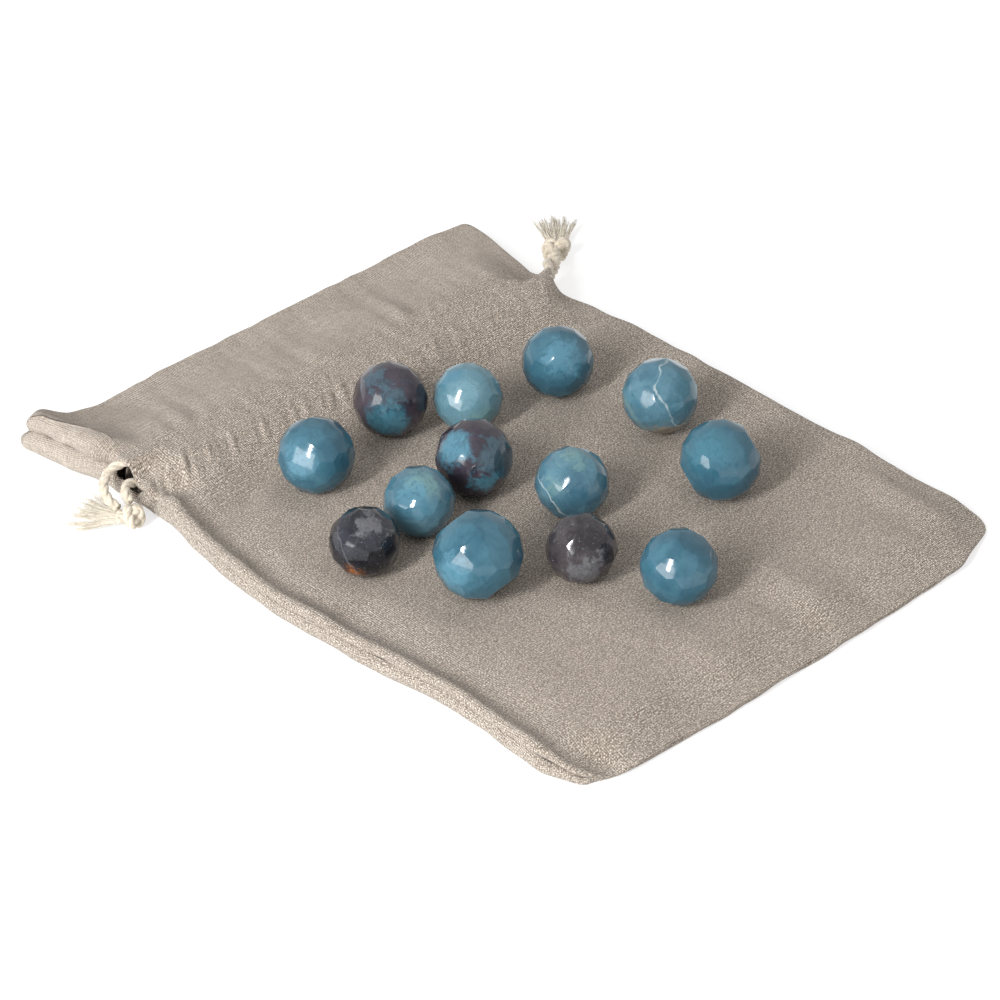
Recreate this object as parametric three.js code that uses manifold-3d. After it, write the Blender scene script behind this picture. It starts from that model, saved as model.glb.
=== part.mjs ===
// A flat cotton drawstring pouch with its set of faceted stone marbles resting on it.
//
// Millimetres. X runs along the mouth of the pouch, +Y points from the bottom seam to the
// mouth, and +Z is up. The origin is on the table, under the middle of the pouch.

import * as THREE from 'three';
import { ConvexGeometry } from 'three/addons/geometries/ConvexGeometry.js';
import { ConvexHull } from 'three/addons/math/ConvexHull.js';
import { mergeVertices } from 'three/addons/utils/BufferGeometryUtils.js';
import Module from 'manifold-3d';

const wasm = await Module();
wasm.setup();

// ---------------------------------------------------------------- driving dimensions

const clothThickness = 0.7;
const facingThickness = 0.4;
const clearance = 0.3; // air between pieces that touch on the real pouch
const overshoot = 1; // how far a cutting block goes past what it cuts

const halfWidth = 80; // to the widest point of either side
const halfLength = 105; // from the middle to the mouth, or to the bottom seam
const bodyTop = 6.2; // outside height of the flat body
const headerTop = 10.2; // outside height of the header, between casing and mouth
const casingTop = 13.2; // outside height of the casing, over its cords
const pastSide = halfWidth + 10; // |X| beyond every piece of the cloth
const pastEnd = 2 * halfLength; // |Y| beyond every piece of the cloth

const casingMiddle = 60; // Y of the casing where it crosses X = 0
const casingSkew = -0.05; // the casing's rise in Y for each millimetre of X
const casingHalf = 4.6; // half of the raised band that the cords lie under
const casingSlope = 2; // how far the band takes to rise
const stitchOffset = 7.3; // from the middle of the casing to either row of stitches
const headerEdge = 8.2; // from the middle of the casing to where the body's slope ends
const bodyEdge = 16; // from the middle of the casing to where that slope starts

const seamAllowance = 5.5; // cloth turned in along the side and bottom seams
const cordRadius = 1.3;
const cordLift = 0.4; // air between the back panel and the cords that run over it
const laneOffset = 3.2; // two cords share each casing, this far either side of its middle
const frontLaneHeight = casingTop - clothThickness - clearance - cordRadius;
const backLaneHeight = clothThickness + cordLift + cordRadius;
const turnStart = 58.3; // |X| where each cord leaves its lane to turn back inside the casing
const facingNotch = 54.3; // |X| where the facings stop, to leave room for those turns
const notchHalf = 6.2; // how far that notch reaches either side of the casing's middle
const notchMiddle = 65; // |X| of the notch's own middle

const backFacingLow = clothThickness + clearance;
const backFacingHigh = backLaneHeight + cordRadius + clearance;
const frontFacingTop = headerTop - clothThickness - clearance;
const frontFacingBottom = frontFacingTop - facingThickness;
const marbleGap = 0.2; // air under each marble

// ---------------------------------------------------------------- colours

const linen = { color: 0xb2a598, roughness: 0.95 };
const linenInside = { color: 0xa4978a, roughness: 0.95 };
const thread = { color: 0xcdc0b0, roughness: 0.8 };
const cottonCord = { color: 0xe2d8c4, roughness: 0.9 };
const amazonite = { color: 0x4f8796, roughness: 0.2 };
const paleAmazonite = { color: 0x79a7ac, roughness: 0.2 };
const darkStone = { color: 0x3c3a45, roughness: 0.25 };

// ---------------------------------------------------------------- solids

// A closed three.js geometry as a manifold solid.
function solidOf(geometry) {
  const plain = geometry.index ? geometry.toNonIndexed() : geometry.clone();
  plain.deleteAttribute('normal');
  plain.deleteAttribute('uv');
  const merged = mergeVertices(plain, 1e-4);
  const vertProperties = new Float32Array(merged.attributes.position.array);
  const triVerts = new Uint32Array(merged.index.array);
  return new wasm.Manifold(new wasm.Mesh({ numProp: 3, vertProperties, triVerts }));
}

function geometryOf(solid) {
  const { vertProperties, triVerts } = solid.getMesh();
  const geometry = new THREE.BufferGeometry();
  geometry.setAttribute('position', new THREE.BufferAttribute(vertProperties, 3));
  geometry.setIndex(new THREE.BufferAttribute(triVerts, 1));
  geometry.computeVertexNormals();
  return geometry;
}

function block(x0, x1, y0, y1, z0, z1) {
  const geometry = new THREE.BoxGeometry(x1 - x0, y1 - y0, z1 - z0);
  geometry.translate((x0 + x1) / 2, (y0 + y1) / 2, (z0 + z1) / 2);
  return solidOf(geometry);
}

// ---------------------------------------------------------------- outline of the pouch

// One side from the bottom corner to the mouth: it draws in where the casing is gathered.
const leftSide = [
  [-77.5, -88], [-75.5, -55], [-78.5, -25], [-80, 2], [-77.5, 28], [-73, 50],
  [-72.5, 64], [-75.5, 84], [-77.5, 104.5],
];
const rightSide = [
  [75.5, -86], [73.5, -55], [73.3, -20], [74, 20], [73.5, 44], [71.5, 57],
  [76, 74], [79, 90], [80, 98.5],
];
const outlineSteps = 16;

function smooth(points) {
  const curve = new THREE.SplineCurve(points.map(([x, y]) => new THREE.Vector2(x, y)));
  return curve.getPoints(outlineSteps);
}

// The plan of the pouch, drawn in by `inset` all round.
function planShape(inset) {
  const mouth = [[60, 101], [20, 101.5], [-30, 101.5], [-60, 103], [-70, halfLength]];
  const bottom = [[-73, -100], [-62, -104], [-30, -halfLength], [30, -halfLength], [58, -104], [70, -98]];
  const points = [
    ...smooth(rightSide),
    ...mouth.map(([x, y]) => new THREE.Vector2(x, y)),
    ...smooth(leftSide).reverse(),
    ...bottom.map(([x, y]) => new THREE.Vector2(x, y)),
  ];
  const scaleX = 1 - inset / halfWidth;
  const scaleY = 1 - inset / halfLength;
  return new THREE.Shape(points.map((point) => new THREE.Vector2(point.x * scaleX, point.y * scaleY)));
}

function planSolid(inset, z0, z1) {
  const geometry = new THREE.ExtrudeGeometry(planShape(inset), { depth: z1 - z0, bevelEnabled: false });
  geometry.translate(0, 0, z0);
  return solidOf(geometry);
}

// A strip of cloth that runs across the pouch: `top` lists its (Y, Z) points at X = 0, and
// the strip follows the casing's skew.
function strip(top, thickness) {
  const under = top.map(([y, z]) => [y, z - thickness]).reverse();
  const section = new THREE.Shape([...top, ...under].map(([y, z]) => new THREE.Vector2(y, z)));
  const geometry = new THREE.ExtrudeGeometry(section, { depth: 2 * pastSide, bevelEnabled: false });
  geometry.translate(0, 0, -pastSide);
  // (x, y, z) of the extrusion are (Y, Z, X) of the pouch.
  const axes = new THREE.Matrix4().makeBasis(
    new THREE.Vector3(0, 1, 0), new THREE.Vector3(0, 0, 1), new THREE.Vector3(1, 0, 0),
  );
  const skew = new THREE.Matrix4().makeShear(casingSkew, 0, 0, 0, 0, 0);
  geometry.applyMatrix4(axes);
  geometry.applyMatrix4(skew);
  return solidOf(geometry);
}

// A point that is `offset` from the middle of the casing, in Y.
function inCasing(x, offset, z) {
  return new THREE.Vector3(x, casingMiddle + casingSkew * x + offset, z);
}

// ---------------------------------------------------------------- cloth pieces

function backPanel() {
  return planSolid(0, 0, clothThickness);
}

// The front rises from the flat body to the header, with a bump over the two cords.
function frontPanel() {
  const foot = casingHalf + casingSlope;
  const top = [
    [-pastEnd, bodyTop],
    [casingMiddle - bodyEdge, bodyTop],
    [casingMiddle - headerEdge, headerTop],
    [casingMiddle - foot, headerTop],
    [casingMiddle - casingHalf, casingTop],
    [casingMiddle + casingHalf, casingTop],
    [casingMiddle + foot, headerTop],
    [pastEnd, headerTop],
  ];
  return strip(top, clothThickness).intersect(planSolid(0, 0, casingTop + overshoot));
}

const facingEdge = casingMiddle - 8; // the facings' lower edge, just under the lower stitches
const facingInset = 1.6; // how far the facings stay inside the outline
const tunnelHalf = 4.8; // half of the band where the back facing rises over the cords
const tunnelFoot = 6.4; // from the middle of the casing to the foot of that rise

// Both facings are notched at the casing's ends, where the cords turn back or come out.
function notched(facing) {
  const low = casingMiddle - notchHalf;
  const high = casingMiddle + notchHalf;
  const lift = casingSkew * notchMiddle;
  const rightNotch = block(facingNotch, pastSide, low + lift, high + lift, 0, casingTop);
  const leftNotch = block(-pastSide, -facingNotch, low - lift, high - lift, 0, casingTop);
  return facing.subtract(rightNotch).subtract(leftNotch);
}

function backFacing() {
  const low = backFacingLow + facingThickness;
  const high = backFacingHigh + facingThickness;
  const top = [
    [facingEdge, low],
    [casingMiddle - tunnelFoot, low],
    [casingMiddle - tunnelHalf, high],
    [casingMiddle + tunnelHalf, high],
    [casingMiddle + tunnelFoot, low],
    [pastEnd, low],
  ];
  return notched(strip(top, facingThickness).intersect(planSolid(facingInset, 0, casingTop)));
}

function frontFacing() {
  const top = [[facingEdge, frontFacingTop], [pastEnd, frontFacingTop]];
  return notched(strip(top, facingThickness).intersect(planSolid(facingInset, 0, casingTop)));
}

const seamInset = 0.4; // how far the turned-in cloth stays inside the outline
const seamInner = 40; // |X| that no side seam reaches in to

// The ring of cloth turned in along the edge of the pouch, between two heights.
function allowance(z0, z1) {
  const hole = planSolid(seamAllowance, z0 - overshoot, z1 + overshoot);
  return planSolid(seamInset, z0, z1).subtract(hole);
}

// One side of the pouch between two places along it: side is -1 for the left, 1 for the right.
function sideRegion(side, y0, y1) {
  const x0 = side < 0 ? -pastSide : seamInner;
  return block(x0, x0 + pastSide - seamInner, y0, y1, 0, casingTop);
}

const seamBottom = clothThickness + clearance;
const seamTop = bodyTop - clothThickness - clearance;
const sideSeamEnd = 42; // the side seams stop short of the casing, which is open at its ends
const cornerY = -95.5; // where the bottom seam takes over from the side seams

function bottomSeam() {
  const reach = block(-pastSide, pastSide, -pastEnd, cornerY, 0, bodyTop);
  return allowance(seamBottom, seamTop).intersect(reach);
}

function sideSeam(side) {
  const reach = sideRegion(side, cornerY + clearance, sideSeamEnd);
  return allowance(seamBottom, seamTop).intersect(reach);
}

const headerSeamStart = 76;
const headerSeamEnd = 93;

// The short seams beside the header, above the cord openings.
function headerSeam(side) {
  const z0 = backFacingLow + facingThickness + clearance;
  const z1 = frontFacingBottom - clearance;
  return allowance(z0, z1).intersect(sideRegion(side, headerSeamStart, headerSeamEnd));
}

// ---------------------------------------------------------------- stitches

const stitchPitch = 3.2;
const stitchWidth = 0.6;
const threadHeight = 0.25;
const stitchHeight = 0.55;
const stitchReach = 69; // |X| where each row ends
const stitchProfile = [ // the thread's top over one stitch: share of the pitch, height
  [0, threadHeight], [0.2, stitchHeight], [0.7, stitchHeight], [0.9, threadHeight],
];

// One sewn row as a single thread: flat below, with a raised stitch at every pitch.
function stitchRow(offset, height) {
  const section = new THREE.Shape();
  section.moveTo(-stitchReach, 0);
  for (let x = -stitchReach; x < stitchReach - stitchPitch; x += stitchPitch) {
    stitchProfile.forEach(([share, top]) => section.lineTo(x + share * stitchPitch, top));
  }
  section.lineTo(stitchReach, threadHeight);
  section.lineTo(stitchReach, 0);
  const geometry = new THREE.ExtrudeGeometry(section, { depth: stitchWidth, bevelEnabled: false });
  geometry.translate(0, 0, -stitchWidth / 2);
  geometry.rotateX(Math.PI / 2);
  geometry.applyMatrix4(new THREE.Matrix4().makeShear(casingSkew, 0, 0, 0, 0, 0));
  geometry.translate(0, casingMiddle + offset, height + clearance);
  return geometry;
}

// ---------------------------------------------------------------- drawcords

const turnStep = 30; // degrees between the points of a turn

// side is the end of the pouch where this cord turns back, 1 for the right: the cord comes
// down from the front casing to the back one, and changes lane so the turn isn't too tight.
function turnBack(side) {
  const middleHeight = (frontLaneHeight + backLaneHeight) / 2;
  const halfDrop = (frontLaneHeight - backLaneHeight) / 2;
  const radius = Math.hypot(laneOffset, halfDrop);
  const points = [];
  for (let degrees = 0; degrees <= 180; degrees += turnStep) {
    const angle = THREE.MathUtils.degToRad(degrees);
    const x = side * (turnStart + radius * Math.sin(angle));
    points.push(inCasing(x, side * laneOffset * Math.cos(angle), middleHeight + halfDrop * Math.cos(angle)));
  }
  return points;
}

const laneStations = [-56, -40, -20, 0, 20, 40]; // X of a lane's points, from the cord's own end

// Each cord starts at its knot, runs through the front casing, turns back inside the far
// end, returns through the back casing and ends at the same knot.
function cordRoute(side, frontEnd, backEnd) {
  const lane = side * laneOffset;
  const stations = laneStations.map((x) => side * x);
  const front = stations.map((x) => inCasing(x, lane, frontLaneHeight));
  const back = stations.map((x) => inCasing(x, -lane, backLaneHeight)).reverse();
  return [
    ...frontEnd.map(([x, y, z]) => new THREE.Vector3(x, y, z)),
    ...front,
    ...turnBack(side),
    ...back,
    ...backEnd.map(([x, y, z]) => new THREE.Vector3(x, y, z)),
  ];
}

// Outside the pouch, by hand: from the knot to the front casing, and from the back one.
const leftFrontEnd = [
  [-80.8, 60.2, 4.6], [-81.2, 63.4, 5.9], [-80.1, 66.4, 7.4], [-77.8, 68.2, 8.9],
  [-74.8, 68.5, 10.1], [-71.0, 67.4, 10.8], [-66.0, 66.5, 10.9],
];
const leftBackEnd = [
  [-61.0, 60.0, 2.4], [-64.4, 61.2, 2.9], [-67.6, 62.8, 4.2], [-70.6, 64.0, 5.7],
  [-73.2, 64.2, 6.6], [-75.4, 63.4, 6.7], [-76.8, 61.7, 6.2], [-77.3, 59.6, 5.0],
];
const rightFrontEnd = [
  [86.9, 71.0, 2.8], [83.4, 69.2, 3.9], [80.0, 67.2, 5.6], [77.6, 64.4, 7.6],
  [75.0, 61.4, 8.9], [71.2, 57.8, 10.0], [67.4, 54.8, 10.7], [63.8, 53.7, 10.9],
];
const rightBackEnd = [
  [65.0, 60.0, 2.4], [69.5, 59.9, 2.9], [73.0, 60.6, 4.2], [76.4, 62.2, 5.3],
  [79.8, 64.0, 5.6], [82.8, 66.4, 5.5], [86.6, 70.6, 5.6],
];

const cordSides = 8;
const cordSteps = 80;

function drawcord(route) {
  const section = new THREE.Shape();
  for (let side = 0; side < cordSides; side += 1) {
    const angle = (side / cordSides) * 2 * Math.PI;
    const x = cordRadius * Math.cos(angle);
    const y = cordRadius * Math.sin(angle);
    if (side === 0) section.moveTo(x, y);
    else section.lineTo(x, y);
  }
  const extrudePath = new THREE.CatmullRomCurve3(route);
  return new THREE.ExtrudeGeometry(section, { steps: cordSteps, extrudePath, bevelEnabled: false });
}

// ---------------------------------------------------------------- knots and tassels

const knotHeight = 3.3;
const knotHalf = { along: 3.0, across: 3.7, up: 3.1 }; // half of its size, along the tassel first
const leftKnotPlace = new THREE.Vector3(-79.2, 56.1, knotHeight);
const rightKnotPlace = new THREE.Vector3(90.0, 73.6, knotHeight);
const leftTasselTip = new THREE.Vector3(-90.2, 69.5, 1.2);
const rightTasselTip = new THREE.Vector3(103.4, 87.0, 1.6);
const leftFanWidth = 17;
const rightFanWidth = 9;
const tasselSides = 12;
const tasselRoot = { distance: 3.5, height: 1.7, halfWide: 2.0, halfHigh: 1.2 };
const tasselEndHalfHigh = 0.8;

// A tight overhand knot in both strands, as a lump that is widest across the tassel.
function knot(place, tip) {
  const geometry = new THREE.SphereGeometry(1, 14, 10);
  geometry.scale(knotHalf.along, knotHalf.across, knotHalf.up);
  geometry.rotateZ(Math.atan2(tip.y - place.y, tip.x - place.x));
  geometry.translate(place.x, place.y, place.z);
  return geometry;
}

// The frayed cord ends beyond the knot, as a flat fan that lies on the table.
function tassel(place, tip, fanWidth) {
  const along = new THREE.Vector3(tip.x - place.x, tip.y - place.y, 0).normalize();
  const across = new THREE.Vector3(-along.y, along.x, 0);
  const near = place.clone().addScaledVector(along, tasselRoot.distance).setZ(tasselRoot.height);
  const ends = [
    { middle: near, halfWide: tasselRoot.halfWide, halfHigh: tasselRoot.halfHigh },
    { middle: tip, halfWide: fanWidth / 2, halfHigh: tasselEndHalfHigh },
  ];
  const points = [];
  for (const { middle, halfWide, halfHigh } of ends) {
    for (let k = 0; k < tasselSides; k += 1) {
      const angle = (k / tasselSides) * 2 * Math.PI;
      const point = middle.clone().addScaledVector(across, halfWide * Math.cos(angle));
      point.z += halfHigh * Math.sin(angle);
      points.push(point);
    }
  }
  return new ConvexGeometry(points);
}

// ---------------------------------------------------------------- marbles

// Rings of facets from the upper table to the lower one: the angle from the table's axis,
// the number of facets, and how deep the facets are cut, as a share of the radius.
const facetRings = [
  { angle: 0, count: 1, depth: 0.895 },
  { angle: 39, count: 8, depth: 0.968 },
  { angle: 65, count: 12, depth: 0.976 },
  { angle: 90, count: 14, depth: 0.98 },
  { angle: 115, count: 12, depth: 0.976 },
  { angle: 141, count: 8, depth: 0.968 },
  { angle: 180, count: 1, depth: 0.895 },
];

const ringTwist = 0.37; // how far each ring is turned against the last, as a share of a facet
const unevenTilt = 1.5; // degrees
const unevenTurn = 0.04; // radians
const unevenCut = 0.006; // share of the radius

// How uneven hand cutting left one facet, from -1 to 1: the same on every run.
function unevenness(seed, ring, facet) {
  return Math.sin(seed * 7.1 + ring * 2.3 + facet * 1.9);
}

// Each facet as the point 1/depth along its normal.
function facetPoles(radius, seed) {
  const poles = [];
  facetRings.forEach(({ angle, count, depth }, ring) => {
    for (let k = 0; k < count; k += 1) {
      const uneven = unevenness(seed, ring, k);
      const polar = THREE.MathUtils.degToRad(angle + (count > 1 ? unevenTilt * uneven : 0));
      const turn = ((k + ringTwist * ring) / count) * 2 * Math.PI + unevenTurn * uneven;
      const cut = radius * depth * (1 + unevenCut * uneven);
      poles.push(new THREE.Vector3().setFromSphericalCoords(1 / cut, polar, turn));
    }
  });
  return poles;
}

// The polyhedron bounded by the facets. A corner of it is one face of the poles' convex
// hull, and a facet is the fan of corners around its own pole.
function facetedBall(radius, seed) {
  const poles = facetPoles(radius, seed);
  const hull = new ConvexHull().setFromPoints(poles);
  const around = new Map(poles.map((pole) => [pole, []]));
  const corners = hull.faces.map((face) => {
    const corner = face.normal.clone().divideScalar(face.constant);
    let edge = face.edge;
    do {
      around.get(edge.head().point).push(corner);
      edge = edge.next;
    } while (edge !== face.edge);
    return corner;
  });
  const index = new Map(corners.map((corner, place) => [corner, place]));
  const triangles = [];
  for (const [pole, fan] of around) {
    const normal = pole.clone().normalize();
    const middle = fan.reduce((sum, corner) => sum.add(corner), new THREE.Vector3());
    middle.divideScalar(fan.length);
    const first = fan[0].clone().sub(middle).normalize();
    const second = normal.clone().cross(first);
    const turnOf = (corner) => {
      const arm = corner.clone().sub(middle);
      return Math.atan2(arm.dot(second), arm.dot(first));
    };
    const ordered = [...fan].sort((a, b) => turnOf(a) - turnOf(b));
    for (let k = 1; k < ordered.length - 1; k += 1) {
      triangles.push(index.get(ordered[0]), index.get(ordered[k]), index.get(ordered[k + 1]));
    }
  }
  const geometry = new THREE.BufferGeometry();
  geometry.setAttribute('position', new THREE.Float32BufferAttribute(corners.flatMap((c) => c.toArray()), 3));
  geometry.setIndex(triangles);
  return geometry;
}

// Where each marble lies, its radius, and the way its table facet looks: the compass angle
// from +X towards +Y, and the height above the horizon, in degrees.
const marbles = [
  { x: -8.6, y: 35.7, radius: 9.7, compass: 150, height: 20, stone: darkStone },
  { x: 7.1, y: 23.0, radius: 8.9, compass: 214, height: 34, stone: paleAmazonite },
  { x: -12.6, y: 0.4, radius: 10.0, compass: 285, height: 15, stone: darkStone },
  { x: -40.0, y: 29.8, radius: 9.8, compass: 204, height: 25, stone: amazonite },
  { x: -34.9, y: -2.8, radius: 9.0, compass: 200, height: 48, stone: paleAmazonite },
  { x: -56.4, y: -5.9, radius: 8.8, compass: 240, height: 72, stone: darkStone },
  { x: -42.8, y: -32.3, radius: 11.2, compass: 95, height: 38, stone: amazonite },
  { x: 35.4, y: 18.4, radius: 9.4, compass: 230, height: 12, stone: amazonite },
  { x: 42.2, y: -12.3, radius: 9.8, compass: 170, height: 60, stone: amazonite },
  { x: 31.0, y: -44.3, radius: 10.4, compass: 330, height: 28, stone: amazonite },
  { x: -2.0, y: -24.1, radius: 9.3, compass: 255, height: 55, stone: paleAmazonite },
  { x: -20.3, y: -45.6, radius: 8.8, compass: 185, height: 8, stone: darkStone },
  { x: -9.5, y: -68.6, radius: 9.6, compass: 300, height: 64, stone: amazonite },
];

const spinPerMarble = 0.83; // radians about the table's axis, so no two marbles look alike

function marbleGeometry({ radius, compass, height }, seed) {
  const geometry = facetedBall(radius, seed);
  geometry.rotateX(Math.PI / 2);
  geometry.rotateZ(seed * spinPerMarble);
  geometry.rotateY(THREE.MathUtils.degToRad(90 - height));
  geometry.rotateZ(THREE.MathUtils.degToRad(compass));
  geometry.computeBoundingBox();
  return geometry;
}

// ---------------------------------------------------------------- assembly

const assembly = new THREE.Group();

function add(name, geometry, finish) {
  const material = new THREE.MeshStandardMaterial({ ...finish, metalness: 0, flatShading: true });
  const mesh = new THREE.Mesh(geometry, material);
  mesh.name = name;
  assembly.add(mesh);
  return mesh;
}

add('back_panel', geometryOf(backPanel()), linen);
add('front_panel', geometryOf(frontPanel()), linen);
add('back_facing', geometryOf(backFacing()), linenInside);
add('front_facing', geometryOf(frontFacing()), linenInside);
add('left_side_seam', geometryOf(sideSeam(-1)), linenInside);
add('right_side_seam', geometryOf(sideSeam(1)), linenInside);
add('bottom_seam', geometryOf(bottomSeam()), linenInside);
add('left_header_seam', geometryOf(headerSeam(-1)), linenInside);
add('right_header_seam', geometryOf(headerSeam(1)), linenInside);

const backRowHeight = backFacingLow + facingThickness;
add('front_lower_stitching', stitchRow(-stitchOffset, headerTop), thread);
add('front_upper_stitching', stitchRow(stitchOffset, headerTop), thread);
add('back_lower_stitching', stitchRow(-stitchOffset, backRowHeight), thread);
add('back_upper_stitching', stitchRow(stitchOffset, backRowHeight), thread);

add('left_drawcord', drawcord(cordRoute(1, leftFrontEnd, leftBackEnd)), cottonCord);
add('right_drawcord', drawcord(cordRoute(-1, rightFrontEnd, rightBackEnd)), cottonCord);
add('left_knot', knot(leftKnotPlace, leftTasselTip), cottonCord);
add('right_knot', knot(rightKnotPlace, rightTasselTip), cottonCord);
add('left_tassel', tassel(leftKnotPlace, leftTasselTip, leftFanWidth), cottonCord);
add('right_tassel', tassel(rightKnotPlace, rightTasselTip, rightFanWidth), cottonCord);

marbles.forEach((marble, k) => {
  const name = `marble_${String(k + 1).padStart(2, '0')}`;
  const mesh = add(name, marbleGeometry(marble, k + 1), marble.stone);
  const lowest = mesh.geometry.boundingBox.min.z;
  mesh.position.set(marble.x, marble.y, bodyTop + marbleGap - lowest);
});

export default assembly;
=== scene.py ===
# Thirteen faceted stone marbles resting on a flat linen drawstring pouch: the looks.
#
# Metres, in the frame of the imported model: X along the mouth of the pouch, +Y from the bottom
# seam to the mouth, +Z up, with the table at Z = 0.

import math
import random

import bpy
import numpy as np
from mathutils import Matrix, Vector


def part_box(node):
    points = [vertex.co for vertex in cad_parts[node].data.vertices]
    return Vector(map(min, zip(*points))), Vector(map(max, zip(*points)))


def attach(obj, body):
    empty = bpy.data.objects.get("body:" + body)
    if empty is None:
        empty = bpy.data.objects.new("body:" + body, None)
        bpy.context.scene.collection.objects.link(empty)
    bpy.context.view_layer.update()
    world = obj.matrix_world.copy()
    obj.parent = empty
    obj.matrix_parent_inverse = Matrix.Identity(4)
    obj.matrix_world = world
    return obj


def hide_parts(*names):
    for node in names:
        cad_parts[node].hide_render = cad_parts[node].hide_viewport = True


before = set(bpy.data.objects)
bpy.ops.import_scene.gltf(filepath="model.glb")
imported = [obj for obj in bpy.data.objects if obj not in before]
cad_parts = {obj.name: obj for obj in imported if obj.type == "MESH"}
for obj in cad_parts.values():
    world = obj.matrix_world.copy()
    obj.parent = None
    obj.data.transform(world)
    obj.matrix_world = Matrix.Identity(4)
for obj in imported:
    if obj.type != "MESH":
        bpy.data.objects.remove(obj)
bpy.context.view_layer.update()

mm = 0.001

# ---- camera, floor and light

azimuth = math.radians(-44.35)
elevation = math.radians(34.36)
camera_target = Vector((-4.1, -0.3, -0.1)) * mm
camera_distance = 1.1553
lens = 162.0
sensor_width = 36.0

to_camera = Vector(
    (math.sin(azimuth) * math.cos(elevation), -math.cos(azimuth) * math.cos(elevation), math.sin(elevation))
)
camera_right = Vector((math.cos(azimuth), math.sin(azimuth), 0))
camera_up = to_camera.cross(camera_right)

key_direction = -0.48 * camera_right + 0.06 * camera_up + 0.87 * to_camera
side_direction = Vector((-0.96, -0.05, 0.26))
softbox_distance = 1.5
world_strength = 0.70
floor_size = 6.0
floor_grey = 0.45
floor_glow = 0.62  # the floor's own light, which takes it near white


def link(obj):
    bpy.context.scene.collection.objects.link(obj)
    return obj


def make_camera():
    data = bpy.data.cameras.new("camera")
    data.lens = lens
    data.sensor_width = sensor_width
    camera = link(bpy.data.objects.new("camera", data))
    camera.location = camera_target + to_camera * camera_distance
    camera.rotation_euler = to_camera.to_track_quat("Z", "Y").to_euler()
    bpy.context.scene.camera = camera


def softbox(name, direction, width, height, power):
    """A rectangular light that faces the middle of the pouch."""
    data = bpy.data.lights.new(name, "AREA")
    data.shape = "RECTANGLE"
    data.size = width
    data.size_y = height
    data.energy = power
    light = link(bpy.data.objects.new(name, data))
    light.location = direction.normalized() * softbox_distance
    light.rotation_euler = direction.to_track_quat("Z", "Y").to_euler()


def make_light():
    softbox("key_softbox", key_direction, width=0.13, height=0.66, power=19.0)
    softbox("side_softbox", side_direction, width=1.0, height=0.7, power=13.0)
    world = bpy.data.worlds.new("studio")
    world.use_nodes = True
    background = world.node_tree.nodes["Background"]
    background.inputs["Color"].default_value = (1.0, 1.0, 1.0, 1.0)
    background.inputs["Strength"].default_value = world_strength
    bpy.context.scene.world = world
    bpy.context.scene.view_settings.view_transform = "Standard"


make_camera()
make_light()

# ---- curves and tubes


def spline(points, step):
    """A smooth curve through the points, sampled every `step` metres along it."""
    p = np.array(points, float)
    p = np.vstack([2 * p[0] - p[1], p, 2 * p[-1] - p[-2]])
    gaps = np.sqrt(np.linalg.norm(np.diff(p, axis=0), axis=1))
    dense = []
    for k in range(1, len(p) - 2):
        before, here, after = gaps[k - 1], gaps[k], gaps[k + 1]
        start = (p[k] - p[k - 1]) / before - (p[k + 1] - p[k - 1]) / (before + here)
        start = (start + (p[k + 1] - p[k]) / here) * here
        end = (p[k + 1] - p[k]) / here - (p[k + 2] - p[k]) / (here + after)
        end = (end + (p[k + 2] - p[k + 1]) / after) * here
        t = np.linspace(0, 1, 40, endpoint=False)[:, None]
        dense.append(
            (2 * t**3 - 3 * t**2 + 1) * p[k] + (t**3 - 2 * t**2 + t) * start
            + (3 * t**2 - 2 * t**3) * p[k + 1] + (t**3 - t**2) * end
        )
    dense = np.vstack([*dense, p[-2:-1]])
    return resample(dense, step)


def length_along(points):
    """The distance from the first point to each point, along the line."""
    return np.concatenate([[0], np.cumsum(np.linalg.norm(np.diff(points, axis=0), axis=1))])


def resample(points, step):
    along = length_along(points)
    places = np.linspace(0, along[-1], max(2, round(along[-1] / step) + 1))
    return np.column_stack([np.interp(places, along, points[:, k]) for k in range(points.shape[1])])


def cross_frames(points):
    """Two directions across the curve at each point, carried along it without twist."""
    tangents = np.gradient(points, axis=0)
    tangents /= np.linalg.norm(tangents, axis=1)[:, None]
    side = np.cross(tangents[0], (0.0, 0.0, 1.0))
    if np.linalg.norm(side) < 0.1:
        side = np.cross(tangents[0], (1.0, 0.0, 0.0))
    sides = []
    for tangent in tangents:
        side = side - tangent * side.dot(tangent)
        side /= np.linalg.norm(side)
        sides.append(side)
    sides = np.array(sides)
    return sides, np.cross(tangents, sides)


def grid_faces(index):
    """The four-sided faces of a grid of vertex numbers, row by row."""
    corners = (index[:-1, :-1], index[:-1, 1:], index[1:, 1:], index[1:, :-1])
    return list(zip(*[corner.ravel().tolist() for corner in corners]))


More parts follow.
